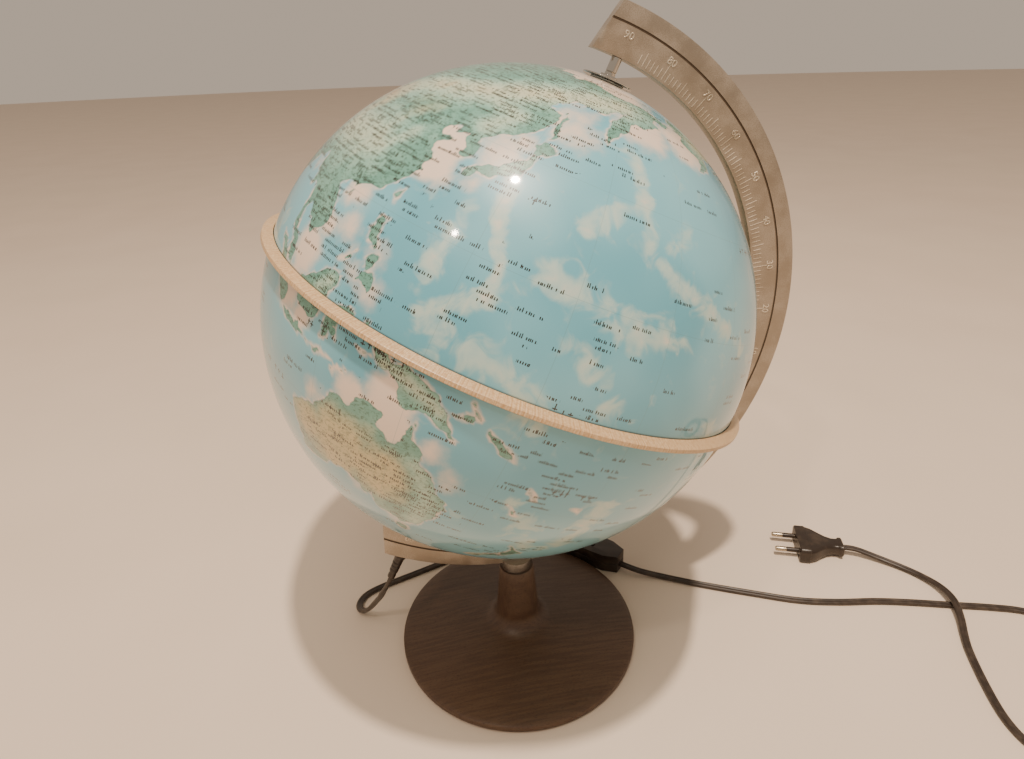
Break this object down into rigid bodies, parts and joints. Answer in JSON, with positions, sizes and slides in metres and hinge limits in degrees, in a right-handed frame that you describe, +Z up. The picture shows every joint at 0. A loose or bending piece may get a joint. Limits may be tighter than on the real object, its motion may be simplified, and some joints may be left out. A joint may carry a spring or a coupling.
{
  "type": "desktop globe on stand",
  "caption": "Lit desk globe: two-shell map ball that spins on a tilted axis in a C-shaped arm on a turned foot, with mains lead, in-line rocker switch and flat plug.",
  "frame": {"origin": "middle of the felt pad's underside, on the table under the middle of the foot", "axes": "+Z up; the meridian arm lies in the XZ plane, and the north pole leans towards +X by 25 degrees; the mains lead runs off towards +X"},
  "size_m": [0.5602, 0.3432, 0.4435],
  "materials": {
    "walnut": "dark walnut brown, satin lacquer",
    "felt": "matt black felt",
    "zinc_steel": "zinc plated",
    "chrome": "polished chrome plate",
    "arm_metal": "champagne grey, satin, raised scale",
    "map_shell": "glossy printed map in turquoise, green, cream and tan",
    "tan_plastic": "tan, satin, fine ribs on its edge",
    "white_plastic": "off-white, satin",
    "dark_plastic": "very dark brown, fine satin",
    "rocker_plastic": "near black, smooth",
    "cord_sheath": "dark brown flat twin sheath, satin",
    "brass": "plain brass",
    "nickel": "nickel plate",
    "bulb_glass": "opal glass",
    "wire": "copper colour"
  },
  "bodies": {
    "stand": {"foot": "walnut", "felt_pad": "felt", "tie_rod": "zinc_steel", "foot_washer": "zinc_steel", "foot_nut": "zinc_steel", "lamp_tube": "zinc_steel", "rocker_pin": "zinc_steel", "switch_screw_1": "zinc_steel", "switch_screw_2": "zinc_steel", "ferrule": "chrome", "top_pivot_pin": "chrome", "top_lock_nut": "chrome", "lamp_tube_nut": "chrome", "support_sleeve": "chrome", "support_disc": "chrome", "meridian_arm": "arm_metal", "cord_strain_relief": "dark_plastic", "lamp_holder": "dark_plastic", "plug_body": "dark_plastic", "plug_pin_sleeve_1": "dark_plastic", "plug_pin_sleeve_2": "dark_plastic", "switch_top_shell": "dark_plastic", "switch_bottom_shell": "dark_plastic", "cord_lamp_side": "cord_sheath", "cord_switch_side": "cord_sheath", "cord_plug_side": "cord_sheath", "cord_coil": "cord_sheath", "holder_screw_shell": "brass", "holder_contact": "brass", "bulb_cap": "brass", "switch_contact_1": "brass", "switch_contact_2": "brass", "plug_pin_1": "nickel", "plug_pin_2": "nickel", "bulb_glass": "bulb_glass", "bulb_filament": "wire", "inner_lead_live": "wire", "inner_lead_neutral": "wire"},
    "ball": {"north_hemisphere": "map_shell", "south_hemisphere": "map_shell", "joining_ring": "white_plastic", "equator_band": "tan_plastic", "north_bush": "white_plastic", "pole_disc": "chrome", "south_bush": "white_plastic"},
    "rocker": {"switch_rocker": "rocker_plastic"}
  },
  "joints": [
    {"name": "globe_spin", "type": "hinge", "parent": "stand", "child": "ball", "pos_m": [0, 0, 0.262], "axis": [0.4226, 0, 0.9063], "continuous": true},
    {"name": "switch_rocker_tilt", "type": "hinge", "parent": "stand", "child": "rocker", "pos_m": [0.0755, 0.0665, 0.013], "axis": [0.7071, 0.7071, 0], "range_deg": [-16, 0]}
  ]
}
